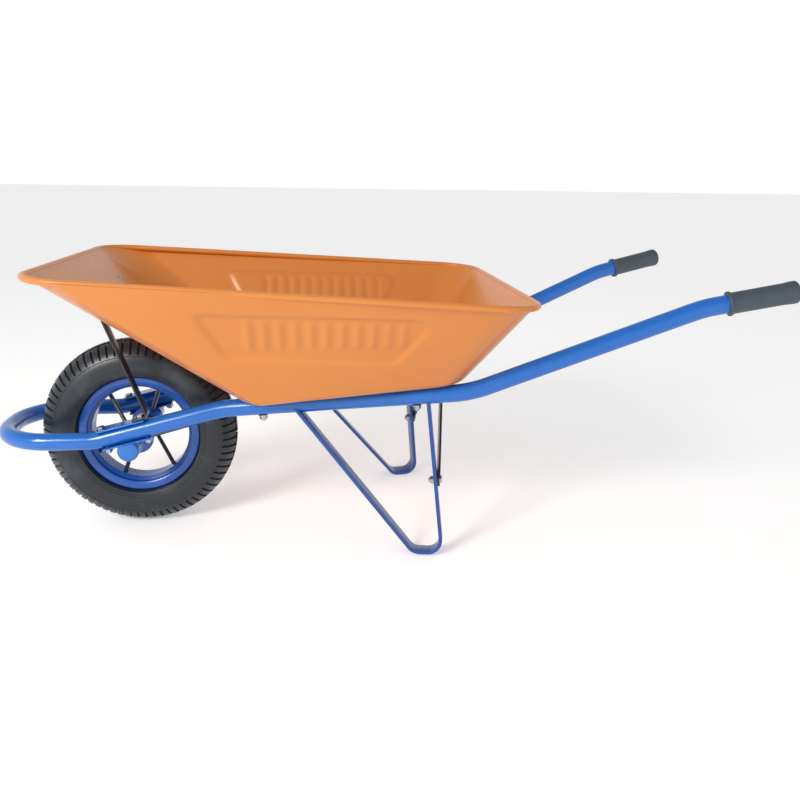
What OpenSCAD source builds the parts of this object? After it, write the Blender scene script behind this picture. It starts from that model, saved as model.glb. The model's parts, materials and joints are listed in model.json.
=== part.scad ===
// Builder's wheelbarrow: one bent frame tube, a pressed steel tray and a pneumatic wheel.
// Millimetres. +X runs from the wheel to the handles, +Z is up and the ground is Z = 0.

/* [Wheel] */
// Outer diameter of the tyre
tyre_d = 370; // [320:5:420]
// Width of the tyre's section
tyre_w = 93; // [80:1:96]
// Thickness of the tyre under the tread
tyre_wall = 6.5; // [5:0.5:9]
// Thickness of the tyre's side
side_wall = 10; // [8:0.5:11]
// Diameter over the rim's flanges
rim_d = 229; // [220:1:235]
// Distance between the rim's flanges, outside
rim_w = 64; // [58:1:68]
// Thickness of the rim's steel
rim_t = 2.5; // [2:0.5:3]
// Diameter of the rod spokes
spoke_d = 8; // [6:0.5:10]
// Number of spokes
spoke_count = 6; // [6:2:8]
// Angle of the first spoke above +X
spoke_start = 66; // [0:1:90]
// Diameter of the axle
axle_d = 16; // [14:1:20]
// Length of the hub tube
hub_l = 104; // [90:2:120]

/* [Frame] */
// Outer diameter of the frame tube
tube_d = 32; // [28:1:35]
// Wall of the frame tube
tube_wall = 1.5; // [1.2:0.1:2]
// Half the distance between the tubes beside the wheel
loop_half_w = 112; // [105:1:140]
// Gap between the tyre and the loop in front of it
loop_gap = 40; // [30:1:70]
// Distance of the axle's middle below the underside of the frame tube
axle_under_tube = 13.9; // [13.8:0.1:17]
// Distance of the first bend ahead of the axle
first_bend = 62; // [60:1:80]
// Distance from the floor's rear edge to the last bend, along the frame
handle_run = 390; // [320:10:520]
// Climb of the handles over that distance
handle_climb = 161; // [120:1:200]
// Length of the straight ends that carry the grips
grip_run = 147; // [135:1:180]
// Climb of those ends
grip_climb = 32; // [10:1:50]
// Half the distance between the ends of the handles
handle_half_w = 285; // [260:1:320]
// Radius of the long bends
bend_r = 220; // [150:10:260]
// Radius of the bend ahead of the axle
front_bend_r = 90; // [60:5:90]
// Radius of the loop's two corners
loop_r = 100; // [80:5:104]

/* [Grips] */
// Outer diameter of a grip
grip_d = 38.5; // [36:0.5:42]
// Length of a grip
grip_l = 115; // [100:1:125]

/* [Tray] */
// Thickness of the tray's sheet
sheet = 1.2; // [0.8:0.1:1.6]
// Gap between the tyre and the tray's front wall
tray_gap = 12; // [10:1:30]
// Slope of the front wall above level
front_slope = 37; // [35:0.1:42]
// Height of the floor's front edge above the axle
floor_rise = 93; // [85:1:110]
// Climb of the floor towards the handles
bed_tilt = 5.9; // [3:0.1:8]
// Length of the flat floor
floor_l = 405; // [360:5:500]
// Half the width of the floor at its front edge
floor_front_half = 155; // [145:1:180]
// Half the width of the floor at its rear edge
floor_rear_half = 205; // [200:1:230]
// Height of the rim's front above the axle
rim_front_rise = 331; // [300:1:360]
// Height of the rim's rear above the axle
rim_rear_rise = 286; // [260:1:320]
// Length of the tray at its rim
rim_l = 824; // [780:1:950]
// Half the width of the rim at the front
rim_front_half = 294; // [270:1:310]
// Half the width of the rim at the rear
rim_rear_half = 325; // [300:1:340]
// Corner radius of the rim at the front
rim_front_r = 78; // [45:1:90]
// Corner radius of the rim at the rear
rim_rear_r = 80; // [50:1:90]
// Corner radius of the floor
floor_corner_r = 55; // [40:1:70]
// Height of the turned-up edge round the floor
floor_edge_h = 6; // [4:1:12]
// Diameter of the wire in the rolled rim
wire_d = 8; // [6:0.5:10]

/* [Legs and stays] */
// Width of the leg strip
leg_w = 32; // [25:1:35]
// Thickness of the leg strip
leg_t = 6.5; // [4:0.5:8]
// Outward lean of the legs
leg_splay = 6; // [3:0.5:8]
// Distance from the tube's second bend to a leg's front top end
leg_front = 129; // [110:1:180]
// Distance from the tube's second bend to a leg's rear top end
leg_rear = 373; // [340:1:395]
// Distance from the tube's second bend to the front of a foot
foot_front = 353; // [340:1:360]
// Distance from the tube's second bend to the back of a foot
foot_rear = 407; // [405:1:430]
// Bend radius of a foot, outside
foot_r = 27; // [22:1:28]
// Width of the stays and braces
stay_w = 25; // [20:1:30]
// Thickness of the stays and braces
stay_t = 4; // [3:0.5:5]
// Height of the brace bolts above the ground
brace_h = 140; // [110:1:170]
// Rearward reach of the braces from the legs to the floor
brace_reach = 30; // [15:1:45]

/* [Axle blocks] */
// Thickness of the pressed steel blocks and straps
block_t = 3; // [2.5:0.5:4]
// Outer diameter of the bearing cups
cup_d = 38; // [36:1:42]
// Depth of the bearing cups
cup_l = 34; // [30:1:40]
// Outer diameter of the axle bushes
bush_d = 25; // [22:1:27]
// Distance between a block's two bolts
block_bolt_gap = 74; // [70:1:76]
// Thread diameter of all bolts
bolt_d = 8; // [6:1:8]

/* [Hidden] */

$fn = 96;
band = 1;
band_grow = 1.001;
run_fit = 0.05;
hole_fit = 0.25;
washer_t = 1.6;
washer_r = 9;
nut_h = 6.5;
nut_across = 13;
head_h = 4.5;
head_r = 9;
thread_past = 3;

blue = [0.16, 0.43, 0.80];
deep_blue = [0.13, 0.30, 0.66];
orange = [0.92, 0.56, 0.26];
black = [0.10, 0.10, 0.13];
zinc = [0.74, 0.76, 0.78];
rubber = [0.16, 0.18, 0.21];

// Wheel
wheel_r = tyre_d / 2;
axle_r = axle_d / 2;
axle_c = [0, 0, wheel_r];
section_r = tyre_w / 2;
section_c = wheel_r - section_r;
cavity_r = section_r - side_wall;
cavity_c = wheel_r - tyre_wall - cavity_r;
air_gap = 0.3;
air_r = cavity_r - air_gap;
tube_rubber = 2;
rim_r = rim_d / 2;
bead_depth = 13;
bead_r = rim_r - bead_depth;
bead_half = rim_w / 2 - rim_t - 0.2;
bead_w = 8;
well_depth = 7;
well_r = bead_r - well_depth;
well_half = 15;
hub_r = 17;
hub_flange_r = 31;
hub_flange_t = 4;
collar_r = 13;
collar_w = 6;
collar_gap = 1.5;
valve_angle = 207;
valve_r = 4;
valve_l = 22;
cap_r = 5;
cap_l = 9;

// Tray floor and front wall
tube_r = tube_d / 2;
floor_z = wheel_r + floor_rise;
wall_off = wheel_r + tray_gap;
function front_wall_x(z) = (wall_off - (z - wheel_r) * cos(front_slope)) / sin(front_slope);
floor_x = front_wall_x(floor_z);
bed = [cos(bed_tilt), 0, sin(bed_tilt)];
bed_up = [-sin(bed_tilt), 0, cos(bed_tilt)];
function on_bed(run, side, lift) = [floor_x, side, floor_z] + run * bed + lift * bed_up;
function bed_z(x) = floor_z + (x - floor_x) * tan(bed_tilt);
floor_edge_grow = 6;

// Rim of the tray
wire_r = wire_d / 2;
roll_in = wire_r + 0.4;
roll_step = 30;
corner_steps = 10;
rim_z = wheel_r + rim_front_rise;
rim_x = front_wall_x(rim_z);
rim_tilt = asin((rim_front_rise - rim_rear_rise) / rim_l);
rim_along = [cos(rim_tilt), 0, -sin(rim_tilt)];
rim_up = [sin(rim_tilt), 0, cos(rim_tilt)];
function on_rim(run, side, lift) = [rim_x, side, rim_z] + run * rim_along + lift * rim_up;
function rim_half(run) = rim_front_half + (rim_rear_half - rim_front_half) * run / rim_l;
rim_middle = on_rim(0, 0, 0);
rim_loop = [
  rim_middle,
  on_rim(0, -rim_front_half, 0), on_rim(rim_l, -rim_rear_half, 0),
  on_rim(rim_l, rim_rear_half, 0), on_rim(0, rim_front_half, 0),
  rim_middle
];
rim_bends = [0, rim_front_r, rim_rear_r, rim_rear_r, rim_front_r, 0];

// Path of the frame tube: the points where its straight stretches would meet, on the right side
bed_lead = 32;
bed_tail = 7;
second_c = on_bed(-bed_lead, 0, -tube_r);
axle_drop = tube_r + axle_under_tube;
axle_to_second = second_c - axle_c;
block_tilt = atan2(axle_to_second.z, axle_to_second.x) - asin(axle_drop / norm(axle_to_second));
loop_z = second_c.z - (second_c.x + first_bend) * tan(block_tilt);
loop_x = -(wheel_r + loop_gap + tube_r);
third_c = on_bed(floor_l + bed_tail, 0, -tube_r);
fourth_c = third_c + [handle_run - bed_tail, 0, handle_climb];
last_c = fourth_c + [grip_run, 0, grip_climb];
spread = (handle_half_w - loop_half_w) / (last_c.x - second_c.x);
toe = atan(spread);
function half_w(x) = loop_half_w + spread * (x - second_c.x);
function widen(p) = [p.x, half_w(p.x), p.z];
tube_path = [
  [loop_x, loop_half_w, loop_z], [-first_bend, loop_half_w, loop_z],
  widen(second_c), widen(third_c), widen(fourth_c), widen(last_c)
];
tube_end = len(tube_path) - 1;
function across(p) = [p.x, -p.y, p.z];
frame_path = concat([for (i = [tube_end:-1:0]) tube_path[i]], [for (p = tube_path) across(p)]);
frame_bends = [
  0, bend_r, bend_r, bend_r, front_bend_r, loop_r,
  loop_r, front_bend_r, bend_r, bend_r, bend_r, 0
];

// Grips, and the overall length that puts the origin under the middle of the barrow
function unit(v) = v / norm(v);
grip_dir = unit(tube_path[tube_end] - tube_path[tube_end - 1]);
grip_wall = 4;
collar_grow = 2;
collar_l = 5;
front_reach = loop_x - tube_r;
rear_reach = last_c.x + grip_d / 2 * sqrt(1 - pow(grip_dir.x, 2));
mid_x = (front_reach + rear_reach) / 2;

// Axle blocks, in a frame whose X runs along the tube and whose Z is square to it
block_along = [cos(block_tilt), 0, sin(block_tilt)];
block_up = [-sin(block_tilt), 0, cos(block_tilt)];
block_edge = 8;
block_l = block_bolt_gap + 2 * block_edge;
block_w = tube_d - 2;
cup_r = cup_d / 2;
cup_in = loop_half_w - tube_r;
cup_dome = 4;
bush_r = bush_d / 2;
axle_end = cup_in + cup_l - block_t - 2;
function on_block(run, side, lift) =
  axle_c + run * block_along + [0, side, 0] + (axle_drop + lift) * block_up;

// Front stays
stay_low = tube_r + block_t;
stay_tab = 14;
stay_bend_r = 8;
stay_top_rise = 275;
wall_dir = [-cos(front_slope), 0, sin(front_slope)];
wall_out = [-sin(front_slope), 0, -cos(front_slope)];
function on_wall(out) =
  [front_wall_x(wheel_r + stay_top_rise), loop_half_w, wheel_r + stay_top_rise] + out * wall_out;
stay_path = [
  on_block(block_bolt_gap / 2 - stay_tab, loop_half_w, stay_low + stay_t / 2),
  on_block(block_bolt_gap / 2 + stay_tab, loop_half_w, stay_low + stay_t / 2),
  on_wall(stay_t / 2),
  on_wall(stay_t / 2) + 2 * stay_tab * wall_dir
];

// Legs, in a plane that holds the tube and leans outwards on its way down
leg_bend_r = foot_r - leg_t / 2;
leg_ground = leg_t / 2 * cos(leg_splay) + leg_w / 2 * sin(leg_splay);
function tube_z(run) = second_c.z + run * cos(toe) * tan(bed_tilt);
function leg_point(run, z) =
  let (lean = (second_c.z - z) * tan(leg_splay))
  [second_c.x + run * cos(toe) - lean * sin(toe), loop_half_w + run * sin(toe) + lean * cos(toe), z];
leg_path = [
  leg_point(leg_front, tube_z(leg_front)), leg_point(foot_front, leg_ground),
  leg_point(foot_rear, leg_ground), leg_point(leg_rear, tube_z(leg_rear))
];
leg_out = unit(cross(leg_path[3] - leg_path[0], leg_path[1] - leg_path[0]));
leg_back = unit(cross(leg_out, leg_path[3] - leg_path[2]));

// Braces from the backs of the legs to the tray's floor
brace_share = (brace_h - leg_ground) / (tube_z(leg_rear) - leg_ground);
brace_low = leg_path[2] + brace_share * (leg_path[3] - leg_path[2]);
brace_top_half = 45;
brace_tab = 34;
pad_sink = 1;
brace_top_x = brace_low.x + brace_reach;
brace_start = brace_low + (leg_t + stay_t) / 2 * leg_back;
brace_end = [brace_top_x, brace_top_half, bed_z(brace_top_x)];
brace_tab_run = (brace_top_x - floor_x) / cos(bed_tilt) - stay_t / 2;

// Bolts through the tray's floor and the tubes
tray_bolt_runs = [38, 316];
function tray_bolt_side(run) = half_w(on_bed(run, 0, -tube_r).x);

// ---- Shapes that repeat ----

// Stands children on p, with their Z along d and their Y close to q
module stand(p, d, q = [0, 1, 0]) {
  z = unit(d);
  x = unit(cross(q, z));
  y = cross(z, x);
  multmatrix([
    [x.x, y.x, z.x, p.x],
    [x.y, y.y, z.y, p.y],
    [x.z, y.z, z.z, p.z]
  ]) children();
}

function turn_at(p, i) = acos(unit(p[i] - p[i - 1]) * unit(p[i + 1] - p[i]));
function bend_cut(p, r, i) = r[i] > 0 ? r[i] * tan(turn_at(p, i) / 2) : 0;

// Sweeps an outline along p with a bend of radius r[i] at each corner, one stretch after another.
// The outline's X is across a strip's thickness, and its Y runs along flat.
module sweep(p, r, flat = [0, 0.1, 1]) {
  stand(p[0], p[1] - p[0], flat) stretch(p, r, 0, unit(cross(flat, p[1] - p[0]))) children();
}

// The straight from p[i], then the bend at the next corner, then the rest; side is the outline's X.
// A band a hair larger than the outline joins the stretches into one solid.
module stretch(p, r, i, side) {
  l = norm(p[i + 1] - p[i]) - bend_cut(p, r, i) - bend_cut(p, r, i + 1);
  linear_extrude(l) children();
  if (i > 0) translate([0, 0, -band / 2]) linear_extrude(band) scale(band_grow) children();
  if (i + 2 < len(p)) {
    a = unit(p[i + 1] - p[i]);
    b = unit(p[i + 2] - p[i + 1]);
    n = unit(cross(a, b));
    out = cross(a, n);
    angle = turn_at(p, i + 1);
    translate([0, 0, l]) rotate(atan2(cross(side, out) * a, side * out)) translate([-r[i + 1], 0, 0]) {
      rotate([90, 0, 0]) rotate_extrude(angle = angle) translate([r[i + 1], 0]) children();
      translate([r[i + 1], 0, -band / 2]) linear_extrude(band) scale(band_grow) children();
      rotate([0, -angle, 0]) translate([r[i + 1], 0, 0]) stretch(p, r, i + 1, cross(b, n)) children();
    }
  }
}

module mirrored() { mirror([0, 1, 0]) children(); }

module both_sides() {
  children();
  mirrored() children();
}

module whole() { translate([-mid_x, 0, 0]) children(); }

// A ring along Y, centred on the axle
module round_axle(side = 0) { translate(axle_c + [0, side, 0]) rotate([-90, 0, 0]) children(); }

module hex_nut() {
  difference() {
    cylinder(d = nut_across / cos(30), h = nut_h, $fn = 6);
    translate([0, 0, -1]) cylinder(r = bolt_d / 2 + run_fit, h = nut_h + 2);
  }
}

module washer() {
  difference() {
    cylinder(r = washer_r, h = washer_t);
    translate([0, 0, -1]) cylinder(r = bolt_d / 2 + hole_fit, h = washer_t + 2);
  }
}

module shank(l) { translate([0, 0, -l]) cylinder(d = bolt_d, h = l + 1); }

// A bolt whose head stands on Z = 0, with its shank below
module hex_bolt(l) {
  cylinder(d = nut_across / cos(30), h = head_h, $fn = 6);
  shank(l);
}

module cup_bolt(l) {
  dome_r = (head_r * head_r + head_h * head_h) / (2 * head_h);
  intersection() {
    translate([0, 0, head_h - dome_r]) sphere(r = dome_r);
    cylinder(r = head_r + 1, h = head_h + 1);
  }
  shank(l);
}

module bolt_hole(l) { translate([0, 0, -l / 2]) cylinder(r = bolt_d / 2 + hole_fit, h = l); }

// ---- Places of the bolts, on the right side ----

module at_block_bolts(lift) {
  for (k = [-1, 1]) stand(on_block(k * block_bolt_gap / 2, loop_half_w, lift), block_up) children();
}

module at_tray_bolts(lift) {
  for (run = tray_bolt_runs) stand(on_bed(run, tray_bolt_side(run), lift), bed_up) children();
}

module at_stay_top(out) { stand(on_wall(out) + stay_tab * wall_dir, -wall_out) children(); }

module at_brace_low(out) { stand(brace_low + out * leg_back, leg_back) children(); }

module at_brace_top(lift) {
  stand(on_bed(brace_tab_run + brace_tab - stay_w / 2, brace_top_half, lift), bed_up) children();
}

// ---- Frame ----

module frame_tube() {
  end = tube_path[tube_end];
  color(blue)
    difference() {
      sweep(frame_path, frame_bends) circle(tube_r);
      sweep(frame_path, frame_bends) circle(tube_r - tube_wall);
      both_sides() {
        at_block_bolts(0) bolt_hole(tube_d + 10);
        at_tray_bolts(-tube_r) bolt_hole(tube_d + 10);
        stand(end - grip_wall * grip_dir, grip_dir) cylinder(d = tube_d + 10, h = 2 * grip_wall);
      }
    }
}

module grip() {
  color([0.30, 0.34, 0.40])
    stand(tube_path[tube_end] - grip_l * grip_dir, grip_dir)
      difference() {
        union() {
          cylinder(d = grip_d, h = grip_l);
          cylinder(d = grip_d + 2 * collar_grow, h = collar_l);
        }
        translate([0, 0, -1]) cylinder(r = tube_r, h = grip_l - grip_wall + 1);
      }
}

module grip_right() { grip(); }
module grip_left() { mirrored() grip(); }

module leg_strip() {
  sweep(leg_path, [0, leg_bend_r, leg_bend_r, 0], leg_out) square([leg_t, leg_w], center = true);
}

module leg() {
  bed_tube = tube_path[3] - tube_path[2];
  color(deep_blue)
    difference() {
      leg_strip();
      stand(tube_path[2], bed_tube) cylinder(r = tube_r, h = norm(bed_tube));
      at_brace_low(0) bolt_hole(30);
    }
}

module leg_right() { leg(); }
module leg_left() { mirrored() leg(); }

module leg_brace() {
  arm = brace_end - brace_start;
  color(black)
    difference() {
      union() {
        at_brace_low(leg_t / 2 - pad_sink) cylinder(d = stay_w, h = stay_t + pad_sink);
        stand(brace_start, arm, cross(arm, [1, 0, 0]))
          translate([-stay_t / 2, -stay_w / 2, 0]) cube([stay_t, stay_w, norm(arm) + stay_w]);
        stand(on_bed(brace_tab_run, brace_top_half, -stay_t), bed_up)
          translate([0, -stay_w / 2, 0]) cube([brace_tab, stay_w, stay_t]);
      }
      leg_strip();
      stand(on_bed(0, 0, 0), bed_up) translate([0, -floor_l / 2, 0]) cube([floor_l, floor_l, 100]);
      at_brace_low(0) bolt_hole(40);
      at_brace_top(0) bolt_hole(20);
    }
}

module leg_brace_right() { leg_brace(); }
module leg_brace_left() { mirrored() leg_brace(); }

module front_stay() {
  color(black)
    difference() {
      sweep(stay_path, [0, stay_bend_r, stay_bend_r, 0], [0, 1, 0]) square([stay_t, stay_w], center = true);
      at_block_bolts(stay_low) bolt_hole(20);
      at_stay_top(0) bolt_hole(20);
    }
}

module front_stay_right() { front_stay(); }
module front_stay_left() { mirrored() front_stay(); }

// ---- Axle blocks ----

module block_plate(lift) {
  stand(on_block(0, loop_half_w, lift), block_up)
    translate([-block_l / 2, -block_w / 2, 0]) cube([block_l, block_w, block_t]);
}

module bearing_cup() {
  round_axle(cup_in) cylinder(r = cup_r, h = cup_l);
  round_axle(cup_in + cup_l) cylinder(r1 = cup_r, r2 = cup_r - cup_dome, h = cup_dome);
}

module axle_block() {
  color(deep_blue)
    difference() {
      union() {
        block_plate(-tube_r - block_t);
        difference() {
          bearing_cup();
          stand(on_block(0, loop_half_w, -tube_r - block_t / 3), block_up)
            translate([-block_l, -tube_d, 0]) cube([2 * block_l, 2 * tube_d, tube_d]);
        }
      }
      round_axle(cup_in - 1) cylinder(r = bush_r, h = cup_l - block_t + 1);
      at_block_bolts(-tube_r) bolt_hole(20);
    }
}

module axle_block_right() { axle_block(); }
module axle_block_left() { mirrored() axle_block(); }

module block_strap() {
  color(blue)
    difference() {
      block_plate(tube_r);
      at_block_bolts(tube_r) bolt_hole(20);
    }
}

module block_strap_right() { block_strap(); }
module block_strap_left() { mirrored() block_strap(); }

module axle_bush() {
  bush_l = cup_l - block_t;
  color([0.85, 0.84, 0.78])
    difference() {
      round_axle(cup_in) cylinder(r = bush_r, h = bush_l);
      round_axle(cup_in - 1) cylinder(r = axle_r + run_fit, h = bush_l + 2);
    }
}

module axle_bush_right() { axle_bush(); }
module axle_bush_left() { mirrored() axle_bush(); }

// ---- Tray ----

// Points round the tray at one level, corner by corner from the left front
function outline(l, front_half, rear_half, front_r, rear_r, grow) = [
  for (c = [0:3], k = [0:corner_steps])
    let (
      rear = c == 1 || c == 2,
      r = rear ? rear_r : front_r,
      x = rear ? l - r : r,
      y = front_half + (rear_half - front_half) * x / l - r,
      a = 180 + 90 * (c + k / corner_steps)
    )
    [x + (r + grow) * cos(a), (c < 2 ? -y : y) + (r + grow) * sin(a)]
];

function floor_ring(grow, lift) =
  [for (q = outline(floor_l, floor_front_half, floor_rear_half, floor_corner_r, floor_corner_r, grow))
    on_bed(q.x, q.y, lift)];

function rim_ring(grow, lift) =
  [for (q = outline(rim_l, rim_front_half, rim_rear_half, rim_front_r, rim_rear_r, grow))
    on_rim(q.x, q.y, lift)];

// The roll round the wire, from the wall over the top to the open edge underneath
function roll_rings(r) =
  [for (a = [180:-roll_step:-120]) rim_ring(r * cos(a), r * sin(a))];

function reversed(q) = [for (i = [len(q) - 1:-1:0]) q[i]];

module tray_sheet() {
  inside = concat(
    [floor_ring(-sheet, sheet), floor_ring(floor_edge_grow - sheet, floor_edge_h + sheet)],
    roll_rings(roll_in + sheet)
  );
  outside = concat([floor_ring(0, 0), floor_ring(floor_edge_grow, floor_edge_h)], roll_rings(roll_in));
  rings = concat(inside, reversed(outside));
  n = len(rings[0]);
  last_row = (len(rings) - 1) * n;
  sides = [
    for (i = [0:len(rings) - 2], j = [0:n - 1], half = [0, 1])
      let (p = i * n + j, q = i * n + (j + 1) % n)
      half == 0 ? [p, p + n, q] : [q, p + n, q + n]
  ];
  inner_floor = [for (j = [0:n - 1]) j];
  outer_floor = [for (j = [n - 1:-1:0]) last_row + j];
  polyhedron([for (ring = rings, q = ring) q], concat([inner_floor], sides, [outer_floor]));
}

module tray() {
  color(orange)
    difference() {
      tray_sheet();
      both_sides() {
        at_tray_bolts(0) bolt_hole(12);
        at_stay_top(0) bolt_hole(12);
        at_brace_top(0) bolt_hole(12);
      }
    }
}

module rim_wire() { color(zinc) sweep(rim_loop, rim_bends) circle(wire_r); }

// ---- Fasteners ----

block_grip = tube_d + 2 * block_t + stay_t;

module block_bolts() {
  color(zinc) both_sides() {
    stand(on_block(-block_bolt_gap / 2, loop_half_w, stay_low), block_up)
      hex_bolt(block_grip - stay_t + nut_h + thread_past);
    stand(on_block(block_bolt_gap / 2, loop_half_w, stay_low + stay_t), block_up)
      hex_bolt(block_grip + nut_h + thread_past);
  }
}

module block_nuts() { color(zinc) both_sides() at_block_bolts(-tube_r - block_t - nut_h) hex_nut(); }

module tray_bolts() {
  color(zinc) both_sides()
    at_tray_bolts(sheet) cup_bolt(sheet + tube_d + washer_t + nut_h + thread_past);
}

module tray_washers() { color(zinc) both_sides() at_tray_bolts(-tube_d - washer_t) washer(); }

module tray_nuts() { color(zinc) both_sides() at_tray_bolts(-tube_d - washer_t - nut_h) hex_nut(); }

module stay_bolts() {
  color(zinc) both_sides() at_stay_top(-sheet) cup_bolt(sheet + stay_t + nut_h + thread_past);
}

module stay_nuts() { color(zinc) both_sides() at_stay_top(stay_t + nut_h) hex_nut(); }

module brace_bolts() {
  color(zinc) both_sides() at_brace_low(leg_t / 2 + stay_t) hex_bolt(leg_t + stay_t + nut_h + thread_past);
}

module brace_nuts() { color(zinc) both_sides() at_brace_low(-leg_t / 2 - nut_h) hex_nut(); }

module brace_tray_bolts() {
  color(zinc) both_sides() at_brace_top(sheet) cup_bolt(sheet + stay_t + nut_h + thread_past);
}

module brace_tray_nuts() { color(zinc) both_sides() at_brace_top(-stay_t - nut_h) hex_nut(); }

// ---- Wheel ----

// Outlines are drawn with X out from the axle and Y across the wheel
module turned() { round_axle() rotate_extrude() children(); }

module tyre() {
  shoulder = rim_r + 1;
  color(rubber) turned()
    difference() {
      union() {
        intersection() {
          translate([section_c, 0]) circle(section_r);
          translate([shoulder, -section_r]) square([wheel_r, tyre_w]);
        }
        translate([bead_r, -bead_half]) square([section_c - bead_r, 2 * bead_half]);
      }
      translate([cavity_c, 0]) circle(cavity_r);
      translate([bead_r - 1, bead_w - bead_half]) square([section_c - bead_r, 2 * (bead_half - bead_w)]);
    }
}

module inner_tube() {
  color(black) turned()
    translate([cavity_c, 0]) difference() {
      circle(air_r);
      circle(air_r - tube_rubber);
    }
}

// The rim's section: bead seats either side of a well, with an upright flange at each edge
module rim() {
  w = rim_w / 2;
  t = rim_t;
  slope = 4;
  tyre_side = [
    [rim_r, w], [rim_r, w - t], [bead_r, w - t], [bead_r, well_half + slope], [well_r, well_half]
  ];
  hub_side = [[well_r - t, well_half + 1], [bead_r - t, well_half + slope + 1], [bead_r - t, w]];
  function flip(q) = [for (i = [len(q) - 1:-1:0]) [q[i].x, -q[i].y]];
  color(deep_blue)
    difference() {
      turned() polygon(concat(tyre_side, flip(tyre_side), flip(hub_side), hub_side));
      valve_place(bead_r) cylinder(r = valve_r + hole_fit, h = 20);
    }
}

module spokes() {
  color([0.20, 0.21, 0.25])
    for (i = [0:spoke_count - 1]) {
      a = spoke_start + i * 360 / spoke_count;
      s = i % 2 == 0 ? 1 : -1;
      dir = [cos(a), 0, sin(a)];
      low = axle_c + dir * (hub_flange_r - 5) + [0, s * (hub_l / 2 - hub_flange_t), 0];
      high = axle_c + dir * (well_r - rim_t + 0.5) + [0, s * 6, 0];
      stand(low, high - low) cylinder(d = spoke_d, h = norm(high - low));
    }
}

module hub() {
  color(deep_blue)
    difference() {
      union() {
        round_axle(-hub_l / 2) cylinder(r = hub_r, h = hub_l);
        for (side = [-hub_l / 2, hub_l / 2 - hub_flange_t])
          round_axle(side) cylinder(r = hub_flange_r, h = hub_flange_t);
      }
      round_axle(-hub_l) cylinder(r = axle_r, h = 2 * hub_l);
    }
}

module axle() { color(zinc) round_axle(-axle_end) cylinder(r = axle_r, h = 2 * axle_end); }

module axle_collars() {
  color(zinc) both_sides() difference() {
    round_axle(cup_in - collar_gap - collar_w) cylinder(r = collar_r, h = collar_w);
    round_axle(0) cylinder(r = axle_r, h = cup_in);
  }
}

module valve_place(r) {
  d = [cos(valve_angle), 0, sin(valve_angle)];
  stand(axle_c + r * d, -d) children();
}

module valve_stem() {
  top = cavity_c - air_r + 0.5;
  color(black) valve_place(top) cylinder(r = valve_r, h = top - well_r + valve_l);
}

module valve_cap() { color(black) valve_place(well_r - valve_l) cylinder(r = cap_r, h = cap_l); }

whole() frame_tube();
whole() grip_left();
whole() grip_right();
whole() tray();
whole() rim_wire();
whole() leg_left();
whole() leg_right();
whole() leg_brace_left();
whole() leg_brace_right();
whole() front_stay_left();
whole() front_stay_right();
whole() axle_block_left();
whole() axle_block_right();
whole() block_strap_left();
whole() block_strap_right();
whole() axle_bush_left();
whole() axle_bush_right();
whole() block_bolts();
whole() block_nuts();
whole() tray_bolts();
whole() tray_nuts();
whole() tray_washers();
whole() stay_bolts();
whole() stay_nuts();
whole() brace_bolts();
whole() brace_nuts();
whole() brace_tray_bolts();
whole() brace_tray_nuts();
whole() tyre();
whole() inner_tube();
whole() rim();
whole() spokes();
whole() hub();
whole() axle();
whole() axle_collars();
whole() valve_stem();
whole() valve_cap();
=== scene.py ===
"""A builder's wheelbarrow: bent tube frame, pressed steel tray, strip legs and a pneumatic wheel.

Metres. +X runs from the wheel to the handles, +Z is up and the ground is Z = 0.
"""

import json
import math

import bmesh
import bpy
from mathutils import Matrix, Vector


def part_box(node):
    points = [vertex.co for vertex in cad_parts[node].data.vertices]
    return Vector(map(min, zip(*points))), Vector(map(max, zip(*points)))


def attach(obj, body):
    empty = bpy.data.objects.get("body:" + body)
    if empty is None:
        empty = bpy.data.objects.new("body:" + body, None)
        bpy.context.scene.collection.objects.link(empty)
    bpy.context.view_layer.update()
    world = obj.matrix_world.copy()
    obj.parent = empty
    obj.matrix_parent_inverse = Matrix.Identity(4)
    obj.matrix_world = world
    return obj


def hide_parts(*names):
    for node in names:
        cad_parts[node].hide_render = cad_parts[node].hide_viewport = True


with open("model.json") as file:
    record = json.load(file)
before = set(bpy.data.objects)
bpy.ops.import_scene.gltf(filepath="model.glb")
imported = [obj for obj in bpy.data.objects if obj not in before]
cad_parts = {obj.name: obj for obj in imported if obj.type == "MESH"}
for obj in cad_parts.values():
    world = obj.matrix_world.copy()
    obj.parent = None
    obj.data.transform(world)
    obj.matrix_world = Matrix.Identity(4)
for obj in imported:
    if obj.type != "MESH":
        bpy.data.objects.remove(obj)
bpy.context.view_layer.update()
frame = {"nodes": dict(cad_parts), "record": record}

MM = 0.001
X, Y, Z = Vector((1, 0, 0)), Vector((0, 1, 0)), Vector((0, 0, 1))


def middle(node):
    low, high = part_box(node)
    return (Vector(low) + Vector(high)) / 2


# ---- Sizes, as in the CAD ----

AXLE = middle("axle")
WHEEL_R = AXLE.z
TUBE_R = 16 * MM
LOOP_HALF = 112 * MM
BED_TILT = math.radians(5.9)
FRONT_SLOPE = math.radians(37)
WALL_OFF = WHEEL_R + 12 * MM
FLOOR_Z = WHEEL_R + 93 * MM
FLOOR_L = 405 * MM
FLOOR_FRONT_HALF, FLOOR_REAR_HALF = 155 * MM, 205 * MM
FLOOR_CORNER = 55 * MM
SHEET = 1.2 * MM
RIM_Z = WHEEL_R + 331 * MM
RIM_L = 824 * MM
RIM_FRONT_HALF, RIM_REAR_HALF = 294 * MM, 325 * MM
RIM_FRONT_CORNER, RIM_REAR_CORNER = 78 * MM, 80 * MM
RIM_TILT = math.asin(45 * MM / RIM_L)
ROLL_R = 5.6 * MM
ROLL_IN = 4.4 * MM


def front_wall_x(z):
    return AXLE.x + (WALL_OFF - (z - WHEEL_R) * math.cos(FRONT_SLOPE)) / math.sin(FRONT_SLOPE)


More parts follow.
